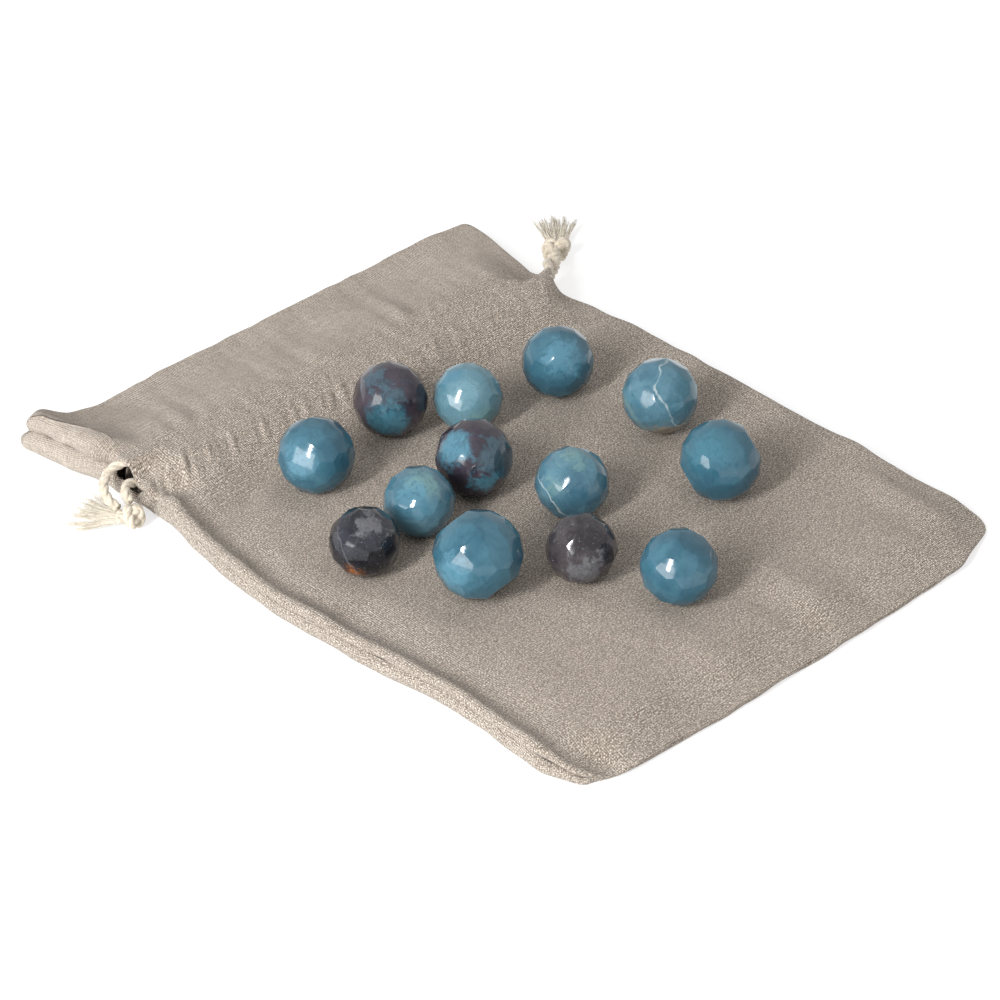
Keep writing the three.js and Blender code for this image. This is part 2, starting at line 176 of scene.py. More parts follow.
class Mesh:
    """Collects vertices, faces and weave coordinates, and makes one object of them."""

    def __init__(self):
        self.points, self.faces, self.places = [], [], []
        self.count = 0

    def add(self, points, faces, places):
        self.points.append(np.asarray(points, float))
        self.places.append(np.asarray(places, float))
        self.faces.extend([tuple(k + self.count for k in face) for face in faces])
        self.count += len(points)

    def tube(self, path, radii, sides):
        """A closed tube of that radius, or of a radius for each point."""
        across, up = cross_frames(path)
        radii = np.broadcast_to(radii, len(path))
        turn = np.linspace(0, 2 * math.pi, sides, endpoint=False)
        ring = np.cos(turn)[None, :, None] * across[:, None, :]
        ring = ring + np.sin(turn)[None, :, None] * up[:, None, :]
        points = (path[:, None, :] + ring * radii[:, None, None]).reshape(-1, 3)
        along = np.repeat(length_along(path), sides)
        places = np.column_stack([np.tile(turn / (2 * math.pi), len(path)) * mm, along])
        faces = []
        for i in range(len(path) - 1):
            for k in range(sides):
                n = (k + 1) % sides
                faces.append((i * sides + k, i * sides + n, (i + 1) * sides + n, (i + 1) * sides + k))
        faces.append(tuple(reversed(range(sides))))
        faces.append(tuple(range((len(path) - 1) * sides, len(path) * sides)))
        self.add(points, faces, places)

    def make(self, name, material, thickness=0.0):
        """The object, with a thickness added on the back of its faces."""
        data = bpy.data.meshes.new(name)
        points = np.vstack(self.points)
        places = np.vstack(self.places)
        data.from_pydata(points.tolist(), [], self.faces)
        corners = np.zeros(len(data.loops), int)
        data.loops.foreach_get("vertex_index", corners)
        layer = data.uv_layers.new(name="weave")
        layer.data.foreach_set("uv", places[corners].astype(np.float32).ravel())
        data.polygons.foreach_set("use_smooth", [True] * len(data.polygons))
        data.materials.append(material)
        data.update()
        obj = link(bpy.data.objects.new(name, data))
        if thickness:
            solid = obj.modifiers.new("thickness", "SOLIDIFY")
            solid.thickness = thickness
            solid.offset = -1.0
        return obj


# ---- materials


def rgb(red, green, blue):
    """A colour given in 0-255 screen values, as the renderer's linear one."""
    def linear(value):
        value /= 255
        return value / 12.92 if value <= 0.04045 else ((value + 0.055) / 1.055) ** 2.4
    return (linear(red), linear(green), linear(blue), 1.0)


class Shader:
    """One material's node tree. Each method adds a node and returns its output."""

    def __init__(self, name):
        self.material = bpy.data.materials.new(name)
        self.material.use_nodes = True
        self.tree = self.material.node_tree
        self.surface = self.tree.nodes["Principled BSDF"]

    def put(self, socket, value):
        if isinstance(value, bpy.types.NodeSocket):
            self.tree.links.new(value, socket)
        else:
            socket.default_value = value

    def node(self, kind, inputs, output=0, **settings):
        made = self.tree.nodes.new(kind)
        for name, value in settings.items():
            setattr(made, name, value)
        for name, value in inputs.items():
            self.put(made.inputs[name], value)
        return made.outputs[output]

    def math(self, operation, a, b=0.0):
        return self.node("ShaderNodeMath", {0: a, 1: b}, operation=operation)

    def vector(self, operation, a, b=(0, 0, 0)):
        output = "Value" if operation in ("DISTANCE", "DOT_PRODUCT") else "Vector"
        return self.node("ShaderNodeVectorMath", {0: a, 1: b}, output, operation=operation)

    def split(self, vector):
        """A node whose three outputs are the parts of the vector."""
        made = self.tree.nodes.new("ShaderNodeSeparateXYZ")
        self.put(made.inputs[0], vector)
        return made

    def scaled(self, vector, sizes):
        return self.vector("MULTIPLY", vector, sizes)

    def step(self, value, low, high, bottom=0.0, top=1.0):
        inputs = {"Value": value, "From Min": low, "From Max": high, "To Min": bottom, "To Max": top}
        return self.node("ShaderNodeMapRange", inputs, interpolation_type="SMOOTHSTEP")

    def mix(self, share, a, b):
        made = self.tree.nodes.new("ShaderNodeMix")
        made.data_type = "RGBA"
        self.put(made.inputs[0], share)
        self.put(made.inputs[6], a)
        self.put(made.inputs[7], b)
        return made.outputs[2]

    def noise(self, vector, scale, detail=2.0, roughness=0.5, output=0):
        inputs = {"Vector": vector, "Scale": scale, "Detail": detail, "Roughness": roughness}
        return self.node("ShaderNodeTexNoise", inputs, output)

    def bump(self, height, distance, strength=1.0, **normal):
        inputs = {"Height": height, "Distance": distance, "Strength": strength, **normal}
        return self.node("ShaderNodeBump", inputs)

    def finish(self, **inputs):
        for name, value in inputs.items():
            self.put(self.surface.inputs[name.replace("_", " ")], value)
        return self.material


yarn_pitch = 0.55 * mm
yarn_wander = 0.5 * mm
weave_relief = 0.30 * mm
hem_line = 68.0 * mm  # V above which the cloth is doubled and pressed, so its weave shows less
hem_weave = 0.40  # how much of the weave still shows there


def linen(name, light, dark, gap, pale):
    """Plain weave: warp along V and weft along U, with slubs, and painted shade that darkens the gaps
    between yarns.
    """
    s = Shader(name)
    place = s.node("ShaderNodeUVMap", {}, uv_map="weave")
    drift = s.vector("SUBTRACT", s.noise(place, 260.0, 2.0, output=1), (0.5, 0.5, 0.5))
    place = s.vector("ADD", place, s.scaled(drift, (yarn_wander, yarn_wander, 0)))
    yarns = s.scaled(place, (1 / yarn_pitch, 1 / yarn_pitch, 0))
    whole, parts = s.split(place), s.split(yarns)
    across = s.math("SINE", s.math("MULTIPLY", parts.outputs[0], math.pi))
    along = s.math("SINE", s.math("MULTIPLY", parts.outputs[1], math.pi))
    over = s.math("MULTIPLY", across, along)
    crown = s.math("POWER", s.math("ABSOLUTE", over), 0.55)
    warp = s.noise(s.scaled(yarns, (0.9, 0.10, 1)), 1.0, 3.0)
    weft = s.noise(s.scaled(yarns, (0.10, 0.9, 1)), 1.0, 3.0)
    on_top = s.step(over, -0.1, 0.1)
    slub = s.node("ShaderNodeMix", {0: on_top, 2: weft, 3: warp}, 0)
    tone = s.step(slub, 0.36, 0.64)
    patch = s.step(s.noise(place, 45.0, 3.0), 0.35, 0.65, 0.0, 0.35)
    colour = s.mix(tone, dark, light)
    colour = s.mix(patch, colour, dark)
    worn = s.step(whole.outputs[1], hem_line - 8 * mm, hem_line + 12 * mm, 1.0, hem_weave)
    # Painted shade in the gaps between yarns: the colour goes towards the gap colour where the yarns'
    # crowns are low, more in some places than others and less above the hem line.
    gap_shade_strength = s.math("MULTIPLY", s.step(s.noise(yarns, 0.33, 2.0), 0.40, 0.66, 0.55, 1.0), worn)
    colour = s.mix(s.math("MULTIPLY", s.step(crown, 0.15, 1.0, 1.0, 0.0), gap_shade_strength), colour, gap)
    # Random dark knots in the gap colour, and pale ones, are the yarn's own tone.
    knots = s.noise(yarns, 1.25, 1.0)
    colour = s.mix(s.math("MULTIPLY", s.step(knots, 0.52, 0.67, 0.0, 0.80), worn), colour, gap)
    colour = s.mix(s.math("MULTIPLY", s.step(knots, 0.48, 0.31, 0.0, 1.00), worn), colour, pale)
    fuzz = s.noise(place, 9000.0, 2.0)
    height = s.math("ADD", crown, s.math("MULTIPLY", slub, 0.9))
    height = s.math("ADD", height, s.math("MULTIPLY", fuzz, 0.35))
    return s.finish(
        Base_Color=colour, Roughness=0.95, Normal=s.bump(height, weave_relief, 1.0),
        Sheen_Weight=0.25, Sheen_Roughness=0.6, Specular_IOR_Level=0.15,
    )


def cotton(name, light, dark, gap, streaks):
    """Twisted cotton: fibres run along each strand, which is V of its tube."""
    s = Shader(name)
    place = s.node("ShaderNodeUVMap", {}, uv_map="weave")
    fibres = s.noise(s.scaled(place, (streaks, 420.0, 1)), 1.0, 4.0, 0.6)
    blotch = s.noise(s.node("ShaderNodeTexCoord", {}, "Object"), 700.0, 3.0)
    colour = s.mix(s.step(fibres, 0.3, 0.7), dark, light)
    colour = s.mix(s.step(blotch, 0.48, 0.72, 0.0, 0.6), colour, gap)
    return s.finish(
        Base_Color=colour, Roughness=0.9, Normal=s.bump(fibres, 0.12 * mm, 0.8),
        Sheen_Weight=0.35, Sheen_Roughness=0.5, Specular_IOR_Level=0.2,
    )


front_linen = linen(
    "front_linen", rgb(206, 193, 179), rgb(166, 151, 137), rgb(98, 84, 70), rgb(228, 216, 202)
)
back_linen = linen(
    "back_linen", rgb(210, 198, 184), rgb(170, 156, 142), rgb(102, 88, 74), rgb(230, 219, 205)
)
inner_linen = linen(
    "inner_linen", rgb(196, 183, 169), rgb(158, 143, 129), rgb(96, 84, 71), rgb(218, 206, 192)
)
sewing_thread = cotton(
    "sewing_thread", rgb(176, 163, 149), rgb(146, 132, 118), rgb(118, 104, 90), streaks=9000.0
)
cord_cotton = cotton(
    "cord_cotton", rgb(213, 203, 187), rgb(187, 176, 158), rgb(148, 135, 114), streaks=5200.0
)
fray_cotton = cotton(
    "fray_cotton", rgb(224, 217, 202), rgb(202, 193, 175), rgb(166, 154, 133), streaks=3000.0
)

# ---- drawcords

casing_middle = 60.0 * mm  # Y of the casing's middle at X = 0
casing_skew = -0.05  # its rise in Y along X
lane_offset = 3.2 * mm  # each cord's lane in a casing, this far from the casing's middle
front_lane = 10.9 * mm  # height of the cords in the front casing
back_lane = 2.4 * mm  # and in the back casing
turn_start = 58.3 * mm  # |X| where a cord starts to turn round inside the far end
lane_stations = np.array([-56, -40, -20, 0, 20, 40]) * mm
cord_diameter = 2.6 * mm

# Each cord's ends, given as in the CAD: the front ones from the knot inwards, and the
# back ones from the casing outwards.
left_front_end = [
    (-0.0808, 0.0602, 0.0046), (-0.0812, 0.0634, 0.0059), (-0.0801, 0.0664, 0.0074),
    (-0.0778, 0.0682, 0.0089), (-0.0748, 0.0685, 0.0101), (-0.0710, 0.0674, 0.0108),
    (-0.0660, 0.0665, 0.0109),
]
left_back_end = [
    (-0.0610, 0.0600, 0.0024), (-0.0644, 0.0612, 0.0029), (-0.0676, 0.0628, 0.0042),
    (-0.0706, 0.0640, 0.0057), (-0.0732, 0.0642, 0.0066), (-0.0754, 0.0634, 0.0067),
    (-0.0768, 0.0617, 0.0062), (-0.0773, 0.0596, 0.0050),
]
right_front_end = [
    (0.0869, 0.0710, 0.0028), (0.0834, 0.0692, 0.0039), (0.0800, 0.0672, 0.0056),
    (0.0776, 0.0644, 0.0076), (0.0750, 0.0614, 0.0089), (0.0712, 0.0578, 0.0100),
    (0.0674, 0.0548, 0.0107), (0.0638, 0.0537, 0.0109),
]
right_back_end = [
    (0.0650, 0.0600, 0.0024), (0.0695, 0.0599, 0.0029), (0.0730, 0.0606, 0.0042),
    (0.0764, 0.0622, 0.0053), (0.0798, 0.0640, 0.0056), (0.0828, 0.0664, 0.0055),
    (0.0866, 0.0706, 0.0056),
]


def in_casing(x, offset, z):
    """A point that is `offset` from the casing's middle, towards the mouth."""
    return (x, casing_middle + casing_skew * x + offset, z)


def cord_route(side, front_end, back_end):
    """From the knot through the front casing, round inside the far end, and back to the knot."""
    middle, drop = (front_lane + back_lane) / 2, (front_lane - back_lane) / 2
    radius = math.hypot(lane_offset, drop)
    front = [in_casing(side * x, side * lane_offset, front_lane) for x in lane_stations]
    back = [in_casing(side * x, -side * lane_offset, back_lane) for x in lane_stations]
    turn = []
    for degrees in range(0, 181, 30):
        angle = math.radians(degrees)
        x = side * (turn_start + radius * math.sin(angle))
        turn.append(in_casing(x, side * lane_offset * math.cos(angle), middle + drop * math.cos(angle)))
    return front_end + front + turn + back[::-1] + back_end


strand_count = 3
strand_pitch = 7.5 * mm  # one full turn of the cord's strands
strand_offset = 0.46  # from the cord's middle to each strand's, as a share of the cord's radius
strand_radius = 0.56  # a strand's radius, as a share of the cord's


def plied(mesh, path, radius, pitch, sides=8, phase=0.0):
    """Strands twisted round the path, filling a cord of that radius."""
    across, up = cross_frames(path)
    along = length_along(path)
    offset = strand_offset * radius
    for strand in range(strand_count):
        angle = phase + 2 * math.pi * (strand / strand_count + along / pitch)
        lay = np.cos(angle)[:, None] * across + np.sin(angle)[:, None] * up
        mesh.tube(path + offset * lay, strand_radius * radius, sides)


def make_cord(name, node, route):
    path = spline(route, 0.5 * mm)
    mesh = Mesh()
    plied(mesh, path, cord_diameter / 2, strand_pitch)
    cord = mesh.make(name, cord_cotton)
    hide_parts(node)
    return cord, path


left_cord, left_path = make_cord(
    "left_cord_strands", "left_drawcord", cord_route(1, left_front_end, left_back_end)
)
right_cord, right_path = make_cord(
    "right_cord_strands", "right_drawcord", cord_route(-1, right_front_end, right_back_end)
)

# ---- knots and tassels


def node_middle(node):
    """The middle of a CAD node's box."""
    low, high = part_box(node)
    return (np.array(low) + np.array(high)) / 2


def knot_path(size):
    """A trefoil, which is an overhand knot's closed path, along X, in a box of that half size."""
    t = np.linspace(0, 2 * math.pi, 150)
    raw = np.column_stack([np.cos(t) - 2 * np.cos(2 * t), np.sin(t) + 2 * np.sin(2 * t), -np.sin(3 * t)])
    return raw / np.abs(raw).max(axis=0) * np.array(size)


knot_strand_offset = 0.99 * mm  # of the two strands that run on from a knot into its tassel


def make_knot(name, node, tilt, half, core):
    """An overhand knot of those half sizes along, across and up, in millimetres.

    It is tied in a cord of radius `core`, points at its tassel and is rolled by `tilt`.
    """
    middle = node_middle(node)
    out = node_middle(node.replace("knot", "tassel")) - middle
    heading = math.atan2(out[1], out[0])
    path = knot_path([size * mm - core for size in half])
    c, s = math.cos(tilt), math.sin(tilt)
    path = path @ np.array([(1, 0, 0), (0, c, s), (0, -s, c)])
    c, s = math.cos(heading), math.sin(heading)
    path = path @ np.array([(c, s, 0), (-s, c, 0), (0, 0, 1)]) + middle
    mesh = Mesh()
    plied(mesh, path, core, strand_pitch, sides=9)
    for hand in (-1, 1):
        strand = np.array([middle, middle + out / np.linalg.norm(out) * (half[0] + 1.0) * mm])
        strand = resample(strand, 0.4 * mm)
        strand[:, :2] += hand * knot_strand_offset * np.array([-s, c])
        plied(mesh, strand, core * 0.95, strand_pitch, phase=0.45 * hand)
    knot = mesh.make(name, cord_cotton)
    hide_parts(node)
    return knot


bundle_count = 24
fibres_per_bundle = 9
fray_start = 2.4 * mm  # from the knot's middle to where the fibres part
root_half_width = 1.7 * mm  # of the tassel where it leaves the knot
root_height = 1.7 * mm
fibre_radii = (0.13 * mm, 0.055 * mm)  # at the root and at the tip
lowest_fibre = 0.14 * mm


def make_tassel(name, node, length, fan, swing, rise, seed):
    """Frayed cotton ends: wavy bundles that spread into a fan, each of several fibres."""
    draw = random.Random(seed)
    root = node_middle(node.replace("tassel", "knot"))
    out = node_middle(node) - root
    out[2] = 0
    out /= np.linalg.norm(out)
    c, s = math.cos(swing), math.sin(swing)
    out = np.array([c * out[0] - s * out[1], s * out[0] + c * out[1], 0])
    across = np.array([-out[1], out[0], 0])
    t = np.linspace(0, 1, 15)
    droop = (1 - t) ** 1.6
    mesh = Mesh()
    for k in range(bundle_count):
        share = (k + 0.5) / bundle_count * 2 - 1 + draw.uniform(-0.05, 0.05)
        bundle_reach = length * (1 - 0.16 * share**2) * draw.uniform(0.80, 1.04)
        angle = share * fan / 2
        lift = draw.uniform(0.25, 1.0)
        bend = draw.uniform(-1, 1) * mm
        for _ in range(fibres_per_bundle):
            spread = draw.gauss(0, 1)
            wave = draw.uniform(0, 2 * math.pi)
            reach = bundle_reach * draw.uniform(0.88, 1.05)
            side = share * root_half_width + (reach * t**1.15) * math.tan(angle) * 0.9
            side = side + bend * t**2 + spread * 0.20 * mm * (0.5 + t) + 0.14 * mm * np.sin(wave + 9 * t)
            ahead = fray_start + (reach - fray_start) * t
            height = (0.35 + 0.9 * lift * (1 - 0.4 * t)) * mm + root_height * droop
            height = height + 0.16 * mm * np.cos(wave + 7 * t) + draw.uniform(-0.2, 0.2) * mm
            path = root[None, :] * np.array([1, 1, 0]) + ahead[:, None] * out + side[:, None] * across
            path[:, 2] = np.maximum(height + rise * t**1.5, lowest_fibre)
            mesh.tube(path, np.linspace(*fibre_radii, len(t)), 5)
    tassel = mesh.make(name, fray_cotton)
    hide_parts(node)
    return tassel


left_knot = make_knot("left_overhand_knot", "left_knot", 0.5, (3.1, 3.9, 3.2), 1.40 * mm)
right_knot = make_knot("right_overhand_knot", "right_knot", -0.3, (3.4, 4.4, 3.3), 1.55 * mm)
left_tassel = make_tassel(
    "left_frayed_ends", "left_tassel", 17.0 * mm, math.radians(64), swing=-0.22, rise=0.8 * mm, seed=3
)
right_tassel = make_tassel(
    "right_frayed_ends", "right_tassel", 18.0 * mm, math.radians(34), swing=0.0, rise=2.4 * mm, seed=8
)

for body, pieces in (
    ("left_cord", (left_cord, left_knot, left_tassel)),
    ("right_cord", (right_cord, right_knot, right_tassel)),
):
    for piece in pieces:
        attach(piece, body)

# ---- outline of the pouch

casing_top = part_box("front_panel")[1].z
stitch_offset = 7.3 * mm  # from the casing's middle to either row of stitches


def periodic_blur(values, spread):
    """Smooths a closed ring of points, with a Gaussian of that many points."""
    reach = int(4 * spread)
    weights = np.exp(-0.5 * (np.arange(-reach, reach + 1) / spread) ** 2)
    weights /= weights.sum()
    padded = np.vstack([values[-reach:], values, values[:reach]])
    return np.column_stack([np.convolve(padded[:, k], weights, "valid") for k in range(values.shape[1])])


def cad_outline(node, spacing, rounding):
    """The plan outline of a flat CAD panel, anticlockwise from its lower left corner."""
    co = np.array([v.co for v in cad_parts[node].data.vertices])
    ring = np.unique(np.round(co[co[:, 2] < 0.1 * mm, :2], 6), axis=0)
    ring = ring[np.argsort(np.arctan2(ring[:, 1], ring[:, 0]))]
    ring = resample(np.vstack([ring, ring[:1]]), spacing)[:-1]
    ring = periodic_blur(ring, rounding / spacing)
    start = np.argmin(ring[:, 0] + ring[:, 1])
    return np.roll(ring, -start, axis=0)


outline_step = 0.4 * mm
outline = cad_outline("back_panel", outline_step, 2.2 * mm)
blunt_corner = np.array([71.0, -95.5]) * mm  # stiff with folded seams, so it stands out a little
corner_push = 4.3 * mm * np.exp(-((np.linalg.norm(outline - blunt_corner, axis=1) / (7.5 * mm)) ** 2))
outline[:, 0] += corner_push
outline_length = np.arange(len(outline)) * outline_step
outline_tangent = np.roll(outline, -1, axis=0) - np.roll(outline, 1, axis=0)
outline_tangent /= np.linalg.norm(outline_tangent, axis=1)[:, None]
outline_normal = np.column_stack([outline_tangent[:, 1], -outline_tangent[:, 0]])

corner_right_bottom = int(np.argmax(outline[:, 0] - outline[:, 1]))
corner_right_mouth = int(np.argmax(outline[:, 0] + outline[:, 1]))
corner_left_mouth = int(np.argmin(outline[:, 0] - outline[:, 1]))

right_ring = outline[corner_right_bottom:corner_right_mouth + 1]
left_ring = outline[corner_left_mouth:][::-1]
bottom_ring = outline[: corner_right_bottom + 1]
mouth_ring = outline[corner_right_mouth:corner_left_mouth + 1][::-1]


def left_edge(y):
    return np.interp(y, left_ring[:, 1], left_ring[:, 0])


def right_edge(y):
    return np.interp(y, right_ring[:, 1], right_ring[:, 0])


def bottom_edge(x):
    return np.interp(x, bottom_ring[:, 0], bottom_ring[:, 1])


def mouth_edge(x):
    return np.interp(x, mouth_ring[:, 0], mouth_ring[:, 1])


def casing_place(x, y):
    """How far a point is from the casing's middle, towards the mouth."""
    return y - casing_middle - casing_skew * x


# ---- shape of the cloth


def hill(value, middle, width):
    return np.exp(-(((value - middle) / width) ** 2))


def ease(value, start, end):
    """0 before start, 1 after end, smooth between them."""
    t = np.clip((value - start) / (end - start), 0, 1)
    return t * t * (3 - 2 * t)


def ripple(value, shortest, longest, seed):
    """An irregular wave from about -1 to 1 along one direction."""
    draw = np.random.default_rng(seed)
    total = 0
    for wavelength in np.geomspace(shortest, longest, 7):
        phase = draw.uniform(0, 2 * math.pi)
        total = total + np.sin(2 * math.pi * value / (wavelength * draw.uniform(0.93, 1.07)) + phase)
    return total / 3.2


def swell(x, y, shortest, longest, seed):
    """Irregular waves in all directions, from about -1 to 1."""
    draw = np.random.default_rng(seed)
    total = 0
    for wavelength in np.geomspace(shortest, longest, 12):
        heading, phase = draw.uniform(0, math.pi), draw.uniform(0, 2 * math.pi)
        total = total + np.sin(
            2 * math.pi * (x * math.cos(heading) + y * math.sin(heading)) / wavelength + phase
        )
    return total / 4.5


marbles = []
for k in range(1, 14):
    low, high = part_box(f"marble_{k:02d}")
    marbles.append(((low + high) / 2, max(high - low) / 2))


def crease(x, y, start, end, width):
    """A soft ridge along the line from start to end, in millimetres of plan."""
    ax, ay = start[0] * mm, start[1] * mm
    bx, by = end[0] * mm, end[1] * mm
    span = (bx - ax) ** 2 + (by - ay) ** 2
    t = np.clip(((x - ax) * (bx - ax) + (y - ay) * (by - ay)) / span, 0, 1)
    away = np.hypot(x - ax - t * (bx - ax), y - ay - t * (by - ay))
    return np.exp(-((away / width) ** 2)) * np.sin(math.pi * np.clip(t, 0.04, 0.96))


creases = [  # start and end (X, Y), width, height in millimetres
    ((3, -70), (7, -110), 4.5, -0.80),
    ((15, -66), (16, -108), 5.0, 0.70),
    ((29, -72), (27, -106), 4.0, -0.55),
    ((-20, -74), (-20, -106), 6.0, 0.60),
    ((55, -66), (54, -98), 4.5, -0.65),
    ((64, -52), (64, -94), 4.0, 0.75),
    ((-74, 40), (-46, 56), 3.6, 0.9),
    ((-70, 30), (-40, 48), 3.2, -0.6),
    ((-60, 94), (-20, 74), 7.0, 0.5),
    ((-30, 98), (10, 76), 6.0, -0.35),
    ((10, 96), (46, 72), 6.0, 0.40),
]
side_swells = [  # Y, width, height in millimetres, along the left edge
    (44, 9, 0.5), (16, 7, 0.7), (2, 6, -0.5), (-14, 7, 0.9), (-34, 8, -0.3), (-60, 10, 0.5), (-86, 8, 0.6),
]

body_height = 6.85 * mm
crest_height = casing_top - 0.8 * mm
bottom_drop = 4.1 * mm  # down to the bottom seam
far_corner_drop = 2.2 * mm  # down to the right edge, near the bottom
dent_depth, dent_width = 0.45 * mm, 7.5 * mm  # of the hollow round each marble
marble_air = 0.10 * mm  # between a marble's underside and the cloth


def mouth_height(x):
    """Height of the mouth's edge: higher at the right, with a dip and a fold near the left corner."""
    z = 5.0 * mm + 1.5 * mm * ease(x, 45 * mm, 78 * mm) - 1.8 * mm * hill(x, -50 * mm, 9 * mm)
    return z + 4.2 * mm * hill(x, -71.5 * mm, 7 * mm)


def left_rim(from_left, y, place):
    """The stiff folded seam that stands up along the left side, and the dip inside it."""
    body = 1 - ease(place, -14 * mm, -7 * mm)
    rim = 0.80 * mm * hill(from_left, 1.2 * mm, 1.9 * mm) - 1.25 * mm * hill(from_left, 6.4 * mm, 3.6 * mm)
    rim = rim - 0.35 * mm * hill(from_left, 11 * mm, 5 * mm)
    for middle, width, height in side_swells:
        rim = rim + height * mm * hill(y, middle * mm, width * mm) * hill(from_left, 1 * mm, 3.5 * mm)
    header = ease(place, 5 * mm, 13 * mm) * (1 - ease(place, 33 * mm, 42 * mm))
    tall = 3.1 * mm * hill(from_left, 2.2 * mm, 4.8 * mm) - 0.9 * mm * hill(from_left, 14 * mm, 6 * mm)
    return rim * body + tall * header


def puckers(x, place):
    """Gathers along both rows of stitches: short and dense at the lower row, faint at the upper."""
    lower = 0.22 + 0.20 * ease(-x, 15 * mm, 55 * mm) + 0.14 * hill(x, -20 * mm, 9 * mm)
    z = lower * mm * ripple(x - 0.55 * (place + stitch_offset), 2.4 * mm, 5.2 * mm, 7) * hill(
        place, -stitch_offset - 0.8 * mm, 3.6 * mm)
    z = z + 0.05 * mm * ripple(x - 0.5 * (place - stitch_offset), 3.0 * mm, 6.0 * mm, 9) * hill(
        place, stitch_offset, 3.0 * mm)
    z = z - 0.20 * mm * hill(place, -stitch_offset, 0.9 * mm)
    return z - 0.08 * mm * hill(place, stitch_offset, 0.9 * mm)


def over_strand(x, place):
    """1 over the upper strand of cord where it runs out at the right, 0 away from it."""
    strand = np.interp(x, np.array([62, 67, 71, 75, 78]) * mm, np.array([-3.4, -1.9, 1.3, 5.2, 8.2]) * mm)
    return hill(place, strand, 3.4 * mm)


def right_side_height(x, place):
    """Height of the cloth at its right edge, which only the strands of cord hold up."""
    return (6.1 + 5.6 * over_strand(x, place)) * mm


def left_end_drop(from_left, place):
    """How far the casing closes down over the cord, on the lower side of its left opening."""
    lower = ease(place, -17 * mm, -9 * mm) * (1 - ease(place, -1.2 * mm, 2.6 * mm))
    return 4.4 * mm * lower * (1 - ease(from_left, 2 * mm, 13 * mm))


def front_height(x, y):
    """Height of the top of the front cloth."""
    place = casing_place(x, y)
    from_left = x - left_edge(y)
    from_right = right_edge(y) - x
    from_bottom = y - bottom_edge(x)
    z = body_height + 0.42 * mm * swell(x, y, 26 * mm, 75 * mm, 5)
    z = z + 0.14 * mm * swell(x, y, 9 * mm, 20 * mm, 11)
    for start, end, width, height in creases:
        z = z + height * mm * crease(x, y, start, end, width * mm)
    z = z + 0.30 * mm * hill(from_right, 2.6 * mm, 2.6 * mm) * (1 - ease(place, -22 * mm, -10 * mm))
    z = z - bottom_drop * (1 - ease(from_bottom, 0, 15 * mm))
    z = z - far_corner_drop * (1 - ease(from_right, 0, 14 * mm)) * ease(-y, 48 * mm, 84 * mm)

    mouth = mouth_height(x)
    header = mouth + (crest_height - mouth) * (1 - ease(place, 4 * mm, 39 * mm))
    header = header + 0.30 * mm * swell(x, y, 16 * mm, 46 * mm, 21)
    rise = ease(place, -24 * mm, -3.6 * mm)
    z = z + (crest_height - z) * rise
    z = np.where(place > 4 * mm, header, z)
    z = z + left_rim(from_left, y, place)

    gather = ripple(x - 0.30 * (place - stitch_offset), 6.5 * mm, 15 * mm, 3)
    above = ease(place, 3 * mm, 10 * mm) * np.exp(-np.clip(place - stitch_offset, 0, None) / (26 * mm))
    below = ease(-place, 3 * mm, 9 * mm) * np.exp(-np.clip(-place - stitch_offset, 0, None) / (9 * mm))
    z = z + (0.30 * above + 0.24 * below) * mm * gather
    z = z + 0.10 * mm * ripple(x, 5 * mm, 14 * mm, 33) * (1 - ease(np.abs(place), 5 * mm, 9 * mm))
    z = z + puckers(x, place)
    sag_width = (17 - 11 * over_strand(x, place) ** 0.4) * mm
    sag = (1 - ease(from_right / sag_width, 0, 1)) * ease(place, -34 * mm, -20 * mm)
    z = z + (right_side_height(x, place) - z) * sag - left_end_drop(from_left, place)

    for centre, radius in marbles:
        away = np.hypot(x - centre.x, y - centre.y)
        z = z - dent_depth * hill(away, 0, dent_width)
        inside = np.clip(away / radius, 0, 0.97)
        underside = centre.z - radius * np.sqrt(1 - inside**2) - marble_air
        z = np.where(away < 0.97 * radius, np.minimum(z, underside), z)
    return z


def back_height(x, y):
    """Height of the underside of the back cloth: flat, just clear of the table."""
    return 0.02 * mm + 0 * x


# ---- cloth panels


def at(values, place):
    """A value or point of a closed ring at a fractional index."""
    index = np.floor(place).astype(int)
    share = place - index
    a, b = values[index % len(values)], values[(index + 1) % len(values)]
    if values.ndim > 1:
        share = share[:, None]
    return a * (1 - share) + b * share


side_places = {
    "bottom": (0, corner_right_bottom),
    "right": (corner_right_bottom, corner_right_mouth),
    "mouth": (corner_left_mouth, corner_right_mouth),
    "left": (len(outline), corner_left_mouth),
}
columns = np.linspace(0, 1, 221)
row_steps = np.concatenate([
    np.arange(0, 0.675, 0.0068), np.arange(0.675, 0.86, 0.0028), np.linspace(0.86, 1, 25),
])
fold_rings = 9
cloth_thickness = 0.6 * mm
upper_lip = 0.20  # the front's rolled edge: its radius, as a share of the cloth's height there
both_lips = 0.532  # the front's and the back's radii together
mouth_lip = 0.80 * mm  # the hem's radius along the mouth
side_turn, mouth_turn, opening_turn = np.radians([-88, -120, -50])  # where each roll ends


